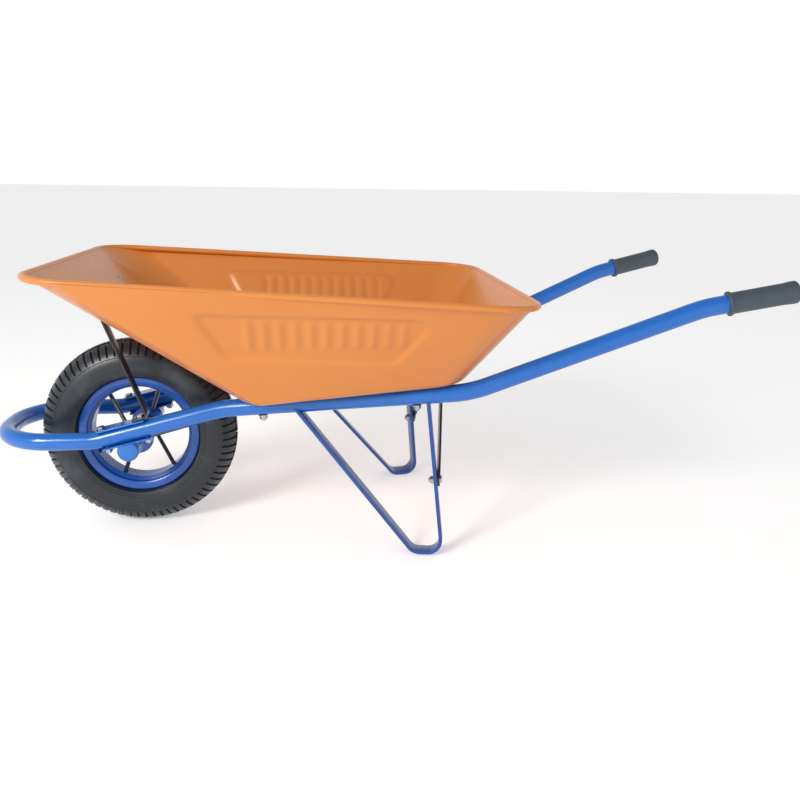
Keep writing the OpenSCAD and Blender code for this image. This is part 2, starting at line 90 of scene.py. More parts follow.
FLOOR_X = front_wall_x(FLOOR_Z)
RIM_X = front_wall_x(RIM_Z)
BED = Vector((math.cos(BED_TILT), 0, math.sin(BED_TILT)))
BED_UP = Vector((-math.sin(BED_TILT), 0, math.cos(BED_TILT)))
RIM_ALONG = Vector((math.cos(RIM_TILT), 0, -math.sin(RIM_TILT)))
RIM_UP = Vector((math.sin(RIM_TILT), 0, math.cos(RIM_TILT)))


def on_bed(run, side, lift):
    return Vector((FLOOR_X, side, FLOOR_Z)) + run * BED + lift * BED_UP


def on_rim(run, side, lift=0):
    return Vector((RIM_X, side, RIM_Z)) + run * RIM_ALONG + lift * RIM_UP


# Corners of the frame tube's path on the right side
SECOND = on_bed(-32 * MM, 0, -TUBE_R)
THIRD = on_bed(FLOOR_L + 7 * MM, 0, -TUBE_R)
FOURTH = THIRD + Vector((383, 0, 161)) * MM
HANDLE_END = FOURTH + Vector((147, 0, 32)) * MM
SPREAD = (285 * MM - LOOP_HALF) / (HANDLE_END.x - SECOND.x)
TOE = math.atan(SPREAD)
LOOP_Z = WHEEL_R + 15.46 * MM
LOOP_X = AXLE.x - 241 * MM


def half_w(x):
    return LOOP_HALF + SPREAD * (x - SECOND.x)


def widened(p):
    return Vector((p.x, half_w(p.x), p.z))


def across(p):
    return Vector((p.x, -p.y, p.z))


TUBE_SIDE = [Vector((LOOP_X, LOOP_HALF, LOOP_Z)), Vector((AXLE.x - 62 * MM, LOOP_HALF, LOOP_Z))]
TUBE_SIDE += [widened(p) for p in (SECOND, THIRD, FOURTH, HANDLE_END)]
TUBE_BENDS = [100 * MM, 90 * MM, 220 * MM, 220 * MM, 220 * MM, 0]

# Legs, in a plane that leans outwards on its way down
LEG_T, LEG_W = 6.5 * MM, 32 * MM
SPLAY = math.radians(6)
LEG_GROUND = LEG_T / 2 * math.cos(SPLAY) + LEG_W / 2 * math.sin(SPLAY)
LEG_BEND = 27 * MM - LEG_T / 2


def leg_point(run, z):
    lean = (SECOND.z - z) * math.tan(SPLAY)
    return Vector((
        SECOND.x + run * math.cos(TOE) - lean * math.sin(TOE),
        LOOP_HALF + run * math.sin(TOE) + lean * math.cos(TOE),
        z,
    ))


def tube_z(run):
    return SECOND.z + run * math.cos(TOE) * math.tan(BED_TILT)


LEG_PATH = [
    leg_point(129 * MM, tube_z(129 * MM)), leg_point(353 * MM, LEG_GROUND),
    leg_point(407 * MM, LEG_GROUND), leg_point(373 * MM, tube_z(373 * MM)),
]
LEG_OUT = (LEG_PATH[3] - LEG_PATH[0]).cross(LEG_PATH[1] - LEG_PATH[0]).normalized()

# Axle blocks, in a frame whose first axis runs along the tube and whose last is square to it
BLOCK_TILT = math.atan2(SECOND.z - LOOP_Z, SECOND.x - TUBE_SIDE[1].x)
BLOCK_ALONG = Vector((math.cos(BLOCK_TILT), 0, math.sin(BLOCK_TILT)))
BLOCK_UP = Vector((-math.sin(BLOCK_TILT), 0, math.cos(BLOCK_TILT)))
AXLE_DROP = (TUBE_SIDE[1] - AXLE).dot(BLOCK_UP)
BLOCK_T = 3 * MM
BLOCK_L = 90 * MM
BOLT_GAP = 74 * MM
CUP_IN = LOOP_HALF - TUBE_R
CUP_R, CUP_L, CUP_DOME = 19 * MM, 34 * MM, 4 * MM
STAY_W, STAY_T = 25 * MM, 4 * MM
STAY_TAB = 14 * MM


def on_block(run, side, lift):
    return AXLE + run * BLOCK_ALONG + side * Y + (AXLE_DROP + lift) * BLOCK_UP


WALL_DIR = Vector((-math.cos(FRONT_SLOPE), 0, math.sin(FRONT_SLOPE)))
WALL_OUT = Vector((-math.sin(FRONT_SLOPE), 0, -math.cos(FRONT_SLOPE)))
STAY_TOP_Z = WHEEL_R + 275 * MM
STAY_TOP = Vector((front_wall_x(STAY_TOP_Z), LOOP_HALF, STAY_TOP_Z)) + STAY_T / 2 * WALL_OUT
STAY_LIFT = TUBE_R + BLOCK_T + STAY_T / 2
STAY_PATH = [
    on_block(BOLT_GAP / 2 - STAY_TAB, LOOP_HALF, STAY_LIFT),
    on_block(BOLT_GAP / 2 + STAY_TAB, LOOP_HALF, STAY_LIFT),
    STAY_TOP, STAY_TOP + 2 * STAY_TAB * WALL_DIR,
]

# Grips
GRIP_DIR = (TUBE_SIDE[5] - TUBE_SIDE[4]).normalized()
GRIP_R, GRIP_L = 19.25 * MM, 115 * MM

# Wheel
TYRE_HALF = 46.5 * MM
TYRE_MID = WHEEL_R - TYRE_HALF
RIM_R, RIM_HALF, RIM_T = 114.5 * MM, 32 * MM, 2.5 * MM
BEAD_R, WELL_R, WELL_HALF = 101.5 * MM, 94.5 * MM, 15 * MM


# ---- Modelling ----

def to_object_mode():
    if bpy.context.object and bpy.context.object.mode != "OBJECT":
        bpy.ops.object.mode_set(mode="OBJECT")


def only(piece):
    """Selects this piece alone."""
    to_object_mode()
    bpy.ops.object.select_all(action="DESELECT")
    piece.select_set(True)
    bpy.context.view_layer.objects.active = piece


def begin(name):
    """Names the primitive just added, puts its place in its mesh and opens it for editing."""
    piece = bpy.context.object
    piece.name = piece.data.name = name
    only(piece)
    bpy.ops.object.transform_apply(location=True, rotation=True, scale=True)
    bpy.ops.object.mode_set(mode="EDIT")
    bpy.ops.mesh.select_all(action="SELECT")
    return piece


def pick(piece, test, kind="VERT"):
    """Selects the vertices, edges or faces that pass the test."""
    bpy.ops.mesh.select_mode(type=kind)
    bpy.ops.mesh.select_all(action="DESELECT")
    mesh = bmesh.from_edit_mesh(piece.data)
    parts = {"VERT": mesh.verts, "EDGE": mesh.edges, "FACE": mesh.faces}[kind]
    for part in parts:
        if test(part):
            part.select_set(True)
    mesh.select_flush_mode()
    bmesh.update_edit_mesh(piece.data)


def finish(piece, angle=35, doubles=1e-6):
    """Merges doubles, points the normals out and smooths all but the sharp edges."""
    bpy.ops.mesh.select_mode(type="VERT")
    bpy.ops.mesh.select_all(action="SELECT")
    bpy.ops.mesh.remove_doubles(threshold=doubles)
    bpy.ops.mesh.normals_make_consistent(inside=False)
    only(piece)
    bpy.ops.object.shade_smooth_by_angle(angle=math.radians(angle))
    return piece


def modify(piece, kind, **values):
    """Adds a modifier and applies it."""
    only(piece)
    modifier = piece.modifiers.new(kind.title(), kind)
    for key, value in values.items():
        setattr(modifier, key, value)
    bpy.ops.object.modifier_apply(modifier=modifier.name)
    return piece


def rounded(piece, width, segments=3, angle=40):
    """Rounds the piece's sharp edges."""
    modify(piece, "BEVEL", width=width, segments=segments, limit_method="ANGLE", angle_limit=math.radians(angle))
    only(piece)
    bpy.ops.object.shade_smooth_by_angle(angle=math.radians(40))
    return piece


def joined(name, *pieces):
    only(pieces[0])
    for piece in pieces:
        piece.select_set(True)
    bpy.ops.object.join()
    piece = bpy.context.object
    piece.name = piece.data.name = name
    return piece


def copied(piece, name):
    only(piece)
    bpy.ops.object.duplicate(linked=False)
    copy = bpy.context.object
    copy.name = copy.data.name = name
    return copy


def mirrored(piece, name):
    """A copy of the piece on the other side of the barrow."""
    copy = copied(piece, name)
    bpy.ops.object.mode_set(mode="EDIT")
    bpy.ops.mesh.select_all(action="SELECT")
    bpy.ops.transform.resize(value=(1, -1, 1), center_override=(0, 0, 0))
    bpy.ops.mesh.flip_normals()
    to_object_mode()
    return copy


def turned(direction, flat=None):
    """The turn that takes Z to direction, and Y as near to flat as it can be."""
    z = direction.normalized()
    side = (flat or (Y if abs(z.y) < 0.9 else X)).cross(z).normalized()
    return Matrix((side, z.cross(side), z)).transposed().to_euler()


def bend_cut(path, bends, i):
    turn = (path[i] - path[i - 1]).angle(path[i + 1] - path[i])
    return bends[i] * math.tan(turn / 2) if bends[i] else 0


def sweep(name, path, bends, ring, per_step=math.radians(4)):
    """Carries a ring along the path: an extrusion for each straight and a spin for each bend."""
    ring(path[0], path[1] - path[0])
    piece = begin(name)
    bpy.ops.mesh.delete(type="ONLY_FACE")
    bpy.ops.mesh.select_all(action="SELECT")
    for i in range(len(path) - 1):
        run = (path[i + 1] - path[i]).normalized()
        last = i + 2 == len(path)
        start = bend_cut(path, bends, i) if i else 0
        end = 0 if last else bend_cut(path, bends, i + 1)
        straight = (path[i + 1] - path[i]).length - start - end
        bpy.ops.mesh.extrude_region_move(TRANSFORM_OT_translate={"value": run * straight})
        if last or not bends[i + 1]:
            continue
        after = (path[i + 2] - path[i + 1]).normalized()
        inward = (after - run * run.dot(after)).normalized()
        turn = run.angle(after)
        bpy.ops.mesh.spin(
            steps=max(3, math.ceil(turn / per_step)), angle=-turn, axis=run.cross(after).normalized(),
            center=path[i + 1] - end * run + bends[i + 1] * inward)
    if (path[-1] - path[0]).length < MM:
        return finish(piece, doubles=0.05 * MM)
    bpy.ops.mesh.select_all(action="SELECT")
    bpy.ops.mesh.fill_holes(sides=0)
    return finish(piece)


def round_ring(radius, vertices=40):
    def ring(place, direction):
        bpy.ops.mesh.primitive_circle_add(
            vertices=vertices, radius=radius, location=place, rotation=turned(direction))
    return ring


def strip_ring(thickness, width, flat, corner=1.2 * MM):
    """A strip's outline with rounded corners; flat is the way its width lies."""
    def ring(place, direction):
        bpy.ops.mesh.primitive_plane_add(size=1, location=place, rotation=turned(direction, flat))
        strip = bpy.context.object
        strip.scale = (thickness, width, 1)
        only(strip)
        bpy.ops.object.transform_apply(location=False, rotation=False, scale=True)
        bpy.ops.object.mode_set(mode="EDIT")
        bpy.ops.mesh.select_all(action="SELECT")
        bpy.ops.mesh.bevel(offset=corner, segments=3, affect="VERTICES")
        bpy.ops.object.mode_set(mode="OBJECT")
    return ring


def lathe(name, profile, origin, axis, steps=96, angle=35):
    """Draws a closed outline of (radius, along) points and spins it about the axis."""
    side = (Z if abs(axis.z) < 0.9 else X).cross(axis).normalized()
    points = [origin + r * side + a * axis for r, a in profile]
    bpy.ops.mesh.primitive_plane_add(size=1 * MM, location=points[0])
    piece = begin(name)
    bpy.ops.mesh.merge(type="CENTER")
    for here, there in zip(points, points[1:] + points[:1]):
        bpy.ops.mesh.extrude_region_move(TRANSFORM_OT_translate={"value": there - here})
    bpy.ops.mesh.select_all(action="SELECT")
    bpy.ops.mesh.remove_doubles(threshold=1e-6)
    bpy.ops.mesh.spin(steps=steps, angle=math.tau, axis=axis, center=origin)
    return finish(piece, angle)


def arc(centre, radius, start, end, count):
    """Points of an outline round a centre, from one angle in degrees to another."""
    angles = [math.radians(start + (end - start) * k / count) for k in range(count + 1)]
    return [(centre[0] + radius * math.cos(a), centre[1] + radius * math.sin(a)) for a in angles]


# ---- Frame ----

def make_frame_tube():
    path = TUBE_SIDE[::-1] + [across(p) for p in TUBE_SIDE]
    return sweep("frame_tube_visual", path, TUBE_BENDS[::-1] + TUBE_BENDS, round_ring(TUBE_R, 48))


def make_leg():
    return sweep("leg_right_visual", LEG_PATH, [0, LEG_BEND, LEG_BEND, 0], strip_ring(LEG_T, LEG_W, LEG_OUT))


def make_stay():
    bend = 8 * MM
    return sweep("front_stay_right_visual", STAY_PATH, [0, bend, bend, 0], strip_ring(STAY_T, STAY_W, Y))


def make_grip():
    """A moulded sleeve: a flared mouth, a plain body that swells a little near the end, and a rounded end."""
    origin = TUBE_SIDE[5] - GRIP_L * GRIP_DIR
    bore, mouth, mouth_l, end_round = TUBE_R, 21.2 * MM, 6 * MM, 5 * MM
    profile = [(bore, 0)] + arc((mouth - 2 * MM, 2 * MM), 2 * MM, -90, 0, 4)
    profile += [(mouth, mouth_l - 1.5 * MM), (GRIP_R + 0.4 * MM, mouth_l), (GRIP_R - 0.9 * MM, mouth_l + 4 * MM)]
    profile += [(GRIP_R - 0.9 * MM, GRIP_L * 0.8), (GRIP_R, GRIP_L * 0.9)]
    profile += arc((GRIP_R - end_round, GRIP_L - end_round), end_round, 0, 90, 6)
    profile += [(0.5 * MM, GRIP_L), (0.5 * MM, GRIP_L - 4 * MM), (bore, GRIP_L - 4 * MM)]
    return lathe("grip_right_visual", profile, origin, GRIP_DIR, 72)


def plate(name, length, width, thickness, place, along, up, corner=4 * MM):
    """A flat plate with rounded corners; place is the middle of its underside."""
    bpy.ops.mesh.primitive_cube_add(size=1, location=place + up * thickness / 2, rotation=turned(up, up.cross(along)))
    bpy.context.object.scale = (length, width, thickness)
    piece = begin(name)
    pick(piece, lambda e: abs((e.verts[0].co - e.verts[1].co).normalized().dot(up)) > 0.99, "EDGE")
    bpy.ops.mesh.bevel(offset=corner, segments=5)
    finish(piece)
    return rounded(piece, 0.6 * MM, 2)


def make_block():
    base = on_block(0, LOOP_HALF, -TUBE_R - BLOCK_T)
    pad = plate("axle_block_right_visual", BLOCK_L, 2 * TUBE_R, BLOCK_T, base, BLOCK_ALONG, BLOCK_UP)
    bore, floor = 12.5 * MM, CUP_L - BLOCK_T
    dome = 3.5 * MM
    profile = [(bore, 0), (CUP_R + 1.2 * MM, 0), (CUP_R + 1.2 * MM, 3 * MM), (CUP_R, 4.5 * MM)]
    profile += arc((CUP_R - dome, CUP_L), dome, 0, 75, 5)
    profile += [(7 * MM, CUP_L + CUP_DOME - 0.3 * MM), (0.4 * MM, CUP_L + CUP_DOME)]
    profile += [(0.4 * MM, floor), (bore, floor)]
    cup = lathe("cup", profile, AXLE + CUP_IN * Y, Y)
    cut = AXLE_DROP - TUBE_R - BLOCK_T / 3
    only(cup)
    bpy.ops.object.mode_set(mode="EDIT")
    bpy.ops.mesh.select_all(action="SELECT")
    bpy.ops.mesh.bisect(plane_co=AXLE + cut * BLOCK_UP, plane_no=BLOCK_UP, clear_outer=True, use_fill=True)
    finish(cup)
    return joined("axle_block_right_visual", pad, cup)


def make_strap():
    """A flat strap over the tube."""
    base = on_block(0, LOOP_HALF, TUBE_R)
    return plate("block_strap_right_visual", BLOCK_L, 2 * TUBE_R, BLOCK_T, base, BLOCK_ALONG, BLOCK_UP)


# ---- Tray ----

SIDE_CUTS, END_CUTS, WALL_CUTS = 170, 60, 56


def tray_outline(length, front_half, rear_half, front_r, rear_r, tilt, place):
    """A closed line with four rounded corners, drawn level and then tilted into place."""
    bpy.ops.mesh.primitive_plane_add(size=1, location=(length / 2, 0, 0))
    bpy.context.object.scale = (length, 1, 1)
    piece = begin("outline")
    for at_front, half, r in ((True, front_half, front_r), (False, rear_half, rear_r)):
        pick(piece, lambda v: (v.co.x < length * 0.3) == at_front and abs(abs(v.co.y) - 0.5) < 1e-4)
        bpy.ops.transform.resize(value=(1, 2 * half, 1), center_override=(0, 0, 0))
        bpy.ops.mesh.bevel(offset=r, segments=10, affect="VERTICES", clamp_overlap=False)
    bpy.ops.mesh.select_all(action="SELECT")
    bpy.ops.mesh.delete(type="ONLY_FACE")
    for along_x, cuts in ((True, SIDE_CUTS), (False, END_CUTS)):
        def long_edge(e):
            line = e.verts[0].co - e.verts[1].co
            return line.length > 0.08 and (abs(line.x) > abs(line.y)) == along_x
        pick(piece, long_edge, "EDGE")
        bpy.ops.mesh.subdivide(number_cuts=cuts)
    bpy.ops.mesh.select_all(action="SELECT")
    bpy.ops.transform.rotate(value=tilt, orient_axis="Y", center_override=(0, 0, 0))
    bpy.ops.transform.translate(value=place)
    to_object_mode()
    return piece


# The pressed field in each side: its corners, as (distance behind the axle, share of the wall's height)
FIELD = [(0.146, 0.84), (0.193, 0.45), (0.479, 0.33), (0.530, 0.72), (0.515, 0.84)]
FIELD_DEPTH = 4.0 * MM
FIELD_EDGE = 9 * MM
FIELD_ROUND = 16 * MM
WALL_H = 262 * MM
RIBS = [0.235 + 0.025 * k for k in range(11)]
RIB_LOW, RIB_HIGH, RIB_HALF = 0.53, 0.78, 8 * MM
RIB_H = 3.2 * MM


def smooth_step(low, high, value):
    t = min(1, max(0, (value - low) / (high - low)))
    return t * t * (3 - 2 * t)


def field_distance(x, h):
    """How far inside the field's rounded outline a place on the wall is."""
    corners = [(cx, share * WALL_H) for cx, share in FIELD]
    inside = []
    for (ax, ah), (bx, bh) in zip(corners, corners[1:] + corners[:1]):
        ex, eh = bx - ax, bh - ah
        length = math.hypot(ex, eh)
        inside.append((ex * (h - ah) - eh * (x - ax)) / length)
    short = [FIELD_ROUND - d for d in inside if d < FIELD_ROUND]
    if not short:
        return min(inside)
    return FIELD_ROUND - math.hypot(*short) if min(inside) > 0 or len(short) > 1 else min(inside)


def pressing(co):
    """The share of the field's depth at a place on a side wall."""
    x = co.x - AXLE.x
    floor_z = FLOOR_Z + (co.x - FLOOR_X) * math.tan(BED_TILT)
    rim_z = RIM_Z - (co.x - RIM_X) * math.tan(RIM_TILT)
    share = (co.z - floor_z) / (rim_z - floor_z)
    side = FLOOR_FRONT_HALF + (RIM_FRONT_HALF - FLOOR_FRONT_HALF) * share
    if abs(co.y) < side - 0.02 or not 0.1 < share < 0.95:
        return 0
    depth = smooth_step(0, FIELD_EDGE, field_distance(x, share * WALL_H))
    band = smooth_step(RIB_LOW - 0.02, RIB_LOW + 0.03, share) * (1 - smooth_step(RIB_HIGH - 0.03, RIB_HIGH + 0.02, share))
    rib = max(1 - abs(x - r) / RIB_HALF for r in RIBS)
    rise = smooth_step(0, 1, max(0, rib)) * band * RIB_H / FIELD_DEPTH
    return max(0, depth - rise)


def make_tray():
    floor_line = tray_outline(
        FLOOR_L, FLOOR_FRONT_HALF, FLOOR_REAR_HALF, FLOOR_CORNER, FLOOR_CORNER,
        BED_TILT, (FLOOR_X, 0, FLOOR_Z))
    rim_line = tray_outline(
        RIM_L - 2 * ROLL_IN, RIM_FRONT_HALF - ROLL_IN, RIM_REAR_HALF - ROLL_IN,
        RIM_FRONT_CORNER - ROLL_IN, RIM_REAR_CORNER - ROLL_IN, -RIM_TILT, on_rim(ROLL_IN, 0))
    tray = joined("tray_visual", floor_line, rim_line)
    bpy.ops.object.mode_set(mode="EDIT")
    bpy.ops.mesh.select_all(action="SELECT")
    bpy.ops.mesh.bridge_edge_loops()

    def on_floor(v):
        return abs((v.co - on_bed(0, 0, 0)).dot(BED_UP)) < 1e-4

    pick(tray, lambda e: all(on_floor(v) for v in e.verts), "EDGE")
    bpy.ops.mesh.edge_face_add()
    bpy.ops.mesh.bevel(offset=13 * MM, segments=5, clamp_overlap=False)
    pick(tray, lambda e: e.calc_length() > 0.12, "EDGE")
    bpy.ops.mesh.subdivide(number_cuts=WALL_CUTS)
    finish(tray, 50)
    floor_face = max(tray.data.polygons, key=lambda p: p.area)
    if floor_face.normal.z > 0:
        tray.data.flip_normals()
    group = tray.vertex_groups.new(name="pressing")
    for v in tray.data.vertices:
        weight = pressing(v.co)
        if weight > 0:
            group.add([v.index], weight, "REPLACE")
    modify(tray, "DISPLACE", strength=-FIELD_DEPTH, mid_level=0, direction="NORMAL", vertex_group="pressing")
    modify(tray, "SOLIDIFY", thickness=SHEET, offset=-1)
    path = [
        on_rim(0, 0), on_rim(0, -RIM_FRONT_HALF), on_rim(RIM_L, -RIM_REAR_HALF),
        on_rim(RIM_L, RIM_REAR_HALF), on_rim(0, RIM_FRONT_HALF), on_rim(0, 0),
    ]
    corners = [0, RIM_FRONT_CORNER, RIM_REAR_CORNER, RIM_REAR_CORNER, RIM_FRONT_CORNER, 0]
    roll = sweep("roll", path, corners, round_ring(ROLL_R, 20), math.radians(5))
    tray = joined("tray_visual", tray, roll)
    only(tray)
    bpy.ops.object.shade_smooth_by_angle(angle=math.radians(50))
    return tray


# ---- Wheel ----

LUGS = 72
TREAD_DEPTH = 4.2 * MM


def wheel_polar(co):
    """Distance from the axle, angle round it, and angle round the tyre's section, in degrees."""
    d = co - AXLE
    r = math.hypot(d.x, d.z)
    return r, math.degrees(math.atan2(d.z, d.x)) % 360, math.degrees(math.atan2(abs(d.y), r - TYRE_MID))


def side_ridge(name, r, side, size):
    """A thin moulded line round the tyre's side."""
    out = math.sqrt(TYRE_HALF ** 2 - (r - TYRE_MID) ** 2)
    bpy.ops.mesh.primitive_torus_add(
        major_segments=144, minor_segments=8, major_radius=r, minor_radius=size,
        location=AXLE + side * (out - size * 0.2) * Y, rotation=(math.pi / 2, 0, 0))
    piece = begin(name)
    return finish(piece, 60)


def make_tyre():
    bpy.ops.mesh.primitive_torus_add(
        major_segments=3 * LUGS, minor_segments=40, major_radius=TYRE_MID, minor_radius=TYRE_HALF,
        location=AXLE, rotation=(math.pi / 2, 0, 0))
    tyre = begin("tyre_visual")

    def groove(f):
        r, turn, section = wheel_polar(f.calc_center_median())
        third = int(turn / (120 / LUGS))
        if section > 62:
            return False
        if 9 < section < 18:
            return True
        return third % 3 == 0 if section > 18 else third % 6 == 4

    pick(tyre, groove, "FACE")
    bpy.ops.mesh.extrude_region_shrink_fatten(TRANSFORM_OT_shrink_fatten={"value": -TREAD_DEPTH})
    bead_r = 117 * MM
    pick(tyre, lambda f: wheel_polar(f.calc_center_median())[0] < bead_r, "FACE")
    bpy.ops.mesh.delete(type="FACE")
    for r, y in ((115.8, 36.0), (115.2, 33.0), (114.9, 26.4), (101.9, 26.4)):
        bpy.ops.mesh.select_mode(type="EDGE")
        bpy.ops.mesh.select_all(action="DESELECT")
        bpy.ops.mesh.select_non_manifold(
            extend=False, use_wire=False, use_boundary=True, use_multi_face=False,
            use_non_contiguous=False, use_verts=False)
        bpy.ops.mesh.extrude_region_move()
        mesh = bmesh.from_edit_mesh(tyre.data)
        ring = [v.co.copy() for v in mesh.verts if v.select]
        now_r = sum(wheel_polar(c)[0] for c in ring) / len(ring)
        now_y = sum(abs(c.y) for c in ring) / len(ring)
        scale = r * MM / now_r
        bpy.ops.transform.resize(value=(scale, y * MM / now_y, scale), center_override=AXLE)
    bpy.ops.mesh.bridge_edge_loops()
    finish(tyre, 40)
    ridges = [
        side_ridge("ridge", r, side, size)
        for side in (-1, 1) for r, size in ((157 * MM, 0.9 * MM), (127 * MM, 0.8 * MM), (122 * MM, 0.6 * MM))
    ]
    return joined("tyre_visual", tyre, *ridges)


def make_rim():
    """Rolled flange, bead seat and well, the same on both sides."""
    lip = 2.7 * MM
    curl = arc((RIM_R - lip, RIM_HALF - lip + 0.2 * MM), lip, 100, -150, 12)
    near = [(BEAD_R + 4 * MM, RIM_HALF - RIM_T), (BEAD_R, RIM_HALF - RIM_T - 3 * MM)]
    near += [(BEAD_R - 0.5 * MM, WELL_HALF + 5 * MM), (WELL_R, WELL_HALF)]
    far = [(WELL_R - RIM_T, WELL_HALF + MM), (BEAD_R - RIM_T, WELL_HALF + 6 * MM)]
    far += [(BEAD_R - RIM_T, RIM_HALF - 2.5 * MM), (BEAD_R + 0.5 * MM, RIM_HALF - 0.4 * MM), (BEAD_R + 5 * MM, RIM_HALF)]
    section = far + curl + near
    other = [(r, -a) for r, a in reversed(section)]
    return lathe("rim_visual", section + other, AXLE, Y, 144, 50)


# ---- Materials ----

def linear(hex_colour):
    """sRGB hex to linear RGBA."""
    parts = [int(hex_colour[i:i + 2], 16) / 255 for i in (0, 2, 4)]
    return [c / 12.92 if c <= 0.04045 else ((c + 0.055) / 1.055) ** 2.4 for c in parts] + [1]


def add(tree, kind, inputs=(), **settings):
    """Adds one node, sets its options, and sets or links its inputs."""
    made = tree.nodes.new(kind)
    for key, value in settings.items():
        setattr(made, key, value)
    for key, value in dict(inputs).items():
        if isinstance(value, bpy.types.NodeSocket):
            tree.links.new(value, made.inputs[key])
        else:
            made.inputs[key].default_value = value
    return made


def material(name, colour, shade, rough, rough_vary, metallic=0, coat=0, blotch=0.05, peel=2.5 * MM,
             peel_height=0.02 * MM, scratch=0, dust=None, dust_low=0.0):
    """A surface with slow colour drift, uneven gloss and a fine skin.

    blotch is the size of the drift, peel the size of the skin's cells, dust a colour that
    gathers in patches.
    """
    made = bpy.data.materials.new(name)
    made.use_nodes = True
    tree = made.node_tree
    shader = tree.nodes["Principled BSDF"]
    place = add(tree, "ShaderNodeTexCoord").outputs["Object"]
    drift = add(tree, "ShaderNodeTexNoise", {"Vector": place, "Scale": 1 / blotch, "Detail": 4, "Roughness": 0.6})
    tint = add(tree, "ShaderNodeMix", {
        "Factor": drift.outputs["Fac"], "A": linear(colour), "B": linear(shade)}, data_type="RGBA")
    colour_out = tint.outputs["Result"]
    gloss = add(tree, "ShaderNodeTexNoise", {"Vector": place, "Scale": 60, "Detail": 5, "Roughness": 0.65})
    level = add(tree, "ShaderNodeMapRange", {
        "Value": gloss.outputs["Fac"], "From Min": 0.3, "From Max": 0.7,
        "To Min": rough - rough_vary, "To Max": rough + rough_vary})
    rough_out = level.outputs["Result"]
    if dust:
        spots = add(tree, "ShaderNodeTexNoise", {"Vector": place, "Scale": 9, "Detail": 8, "Roughness": 0.7})
        mask = add(tree, "ShaderNodeMapRange", {
            "Value": spots.outputs["Fac"], "From Min": 0.52, "From Max": 0.8, "To Min": 0, "To Max": dust_low})
        dusty = add(tree, "ShaderNodeMix", {
            "Factor": mask.outputs["Result"], "A": colour_out, "B": linear(dust)}, data_type="RGBA")
        colour_out = dusty.outputs["Result"]
    cells = add(tree, "ShaderNodeTexNoise", {"Vector": place, "Scale": 1 / peel, "Detail": 2})
    height = cells.outputs["Fac"]
    if scratch:
        stretch = add(tree, "ShaderNodeMapping", {"Vector": place, "Scale": (20, 400, 400)})
        lines = add(tree, "ShaderNodeTexNoise", {"Vector": stretch.outputs["Vector"], "Scale": 2, "Detail": 6})
        both = add(tree, "ShaderNodeMath", {0: lines.outputs["Fac"], 1: scratch, 2: height}, operation="MULTIPLY_ADD")
        height = both.outputs["Value"]
    bump = add(tree, "ShaderNodeBump", {"Height": height, "Distance": peel_height, "Strength": 1.0})
    for key, value in (("Base Color", colour_out), ("Roughness", rough_out), ("Normal", bump.outputs["Normal"])):
        tree.links.new(value, shader.inputs[key])
    shader.inputs["Metallic"].default_value = metallic
    shader.inputs["Coat Weight"].default_value = coat
    shader.inputs["Coat Roughness"].default_value = 0.08
    return made


def paint(piece, made):
    piece.data.materials.clear()
    piece.data.materials.append(made)


def repaint(node, made):
    """Gives a CAD part a new material in each of its slots."""
    for place in frame["nodes"][node].material_slots:
        place.material = made


# Polyester powder coat, sprayed and baked on tube: wet-looking, with a fine orange peel
TUBE_PAINT = material("tube_powder_coat", "0A5AAE", "1067BE", 0.22, 0.04, coat=0.25)
# The same coat on the strip legs and the rim, a deeper blue
LEG_PAINT = material("leg_powder_coat", "0F3F86", "164A96", 0.3, 0.05, coat=0.15)
RIM_PAINT = material("rim_powder_coat", "12489A", "1955AA", 0.28, 0.06, coat=0.2, dust="6C7484", dust_low=0.25)
BLOCK_PAINT = material("block_powder_coat", "1560B2", "1E6CC0", 0.26, 0.05, coat=0.25)
# Orange powder coat on pressed sheet: softer gloss, slow drift in shade where the sheet was drawn
TRAY_PAINT = material("tray_powder_coat", "C8762F", "D28338", 0.36, 0.06, coat=0.15, blotch=0.22, peel=3 * MM)
# Brushed-on black enamel on hot-rolled strip
STAY_PAINT = material("stay_enamel", "16161C", "20202A", 0.34, 0.08, coat=0.2, blotch=0.02, peel_height=0.05 * MM)
# Tyre rubber fresh from the mould, with a bluish bloom
TYRE_RUBBER = material("tyre_rubber", "191E25", "20262E", 0.36, 0.08, blotch=0.06, peel=1.4 * MM,
                       peel_height=0.06 * MM, dust="6F7B88", dust_low=0.3)
# Soft PVC sleeve, dipped and matt
GRIP_PVC = material("grip_pvc", "39424C", "444E59", 0.5, 0.06, blotch=0.02, peel=0.8 * MM, peel_height=0.05 * MM)
# Bright zinc plate on the fasteners, faintly clouded
ZINC = material("zinc_plate", "B9BDC2", "9DA1A8", 0.3, 0.1, metallic=1, blotch=0.004, peel=0.6 * MM, scratch=0.4)
# Turned bright steel bar
AXLE_STEEL = material("bright_steel", "8E9298", "777B82", 0.32, 0.1, metallic=1, blotch=0.01, scratch=0.6)
SPOKE_PAINT = material("spoke_enamel", "2C2F38", "383C46", 0.32, 0.06, coat=0.3, blotch=0.02)
NYLON = material("bush_nylon", "D6D2C2", "C8C4B2", 0.5, 0.05, blotch=0.01)
BUTYL = material("butyl", "17181A", "202225", 0.55, 0.05)
DRAWN_WIRE = material("drawn_wire", "85888D", "74777C", 0.4, 0.1, metallic=1, scratch=0.5)


# ---- The barrow ----

def place_piece(piece, made, body, slot, *nodes):
    paint(piece, made)
    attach(piece, body)
    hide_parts(*nodes)


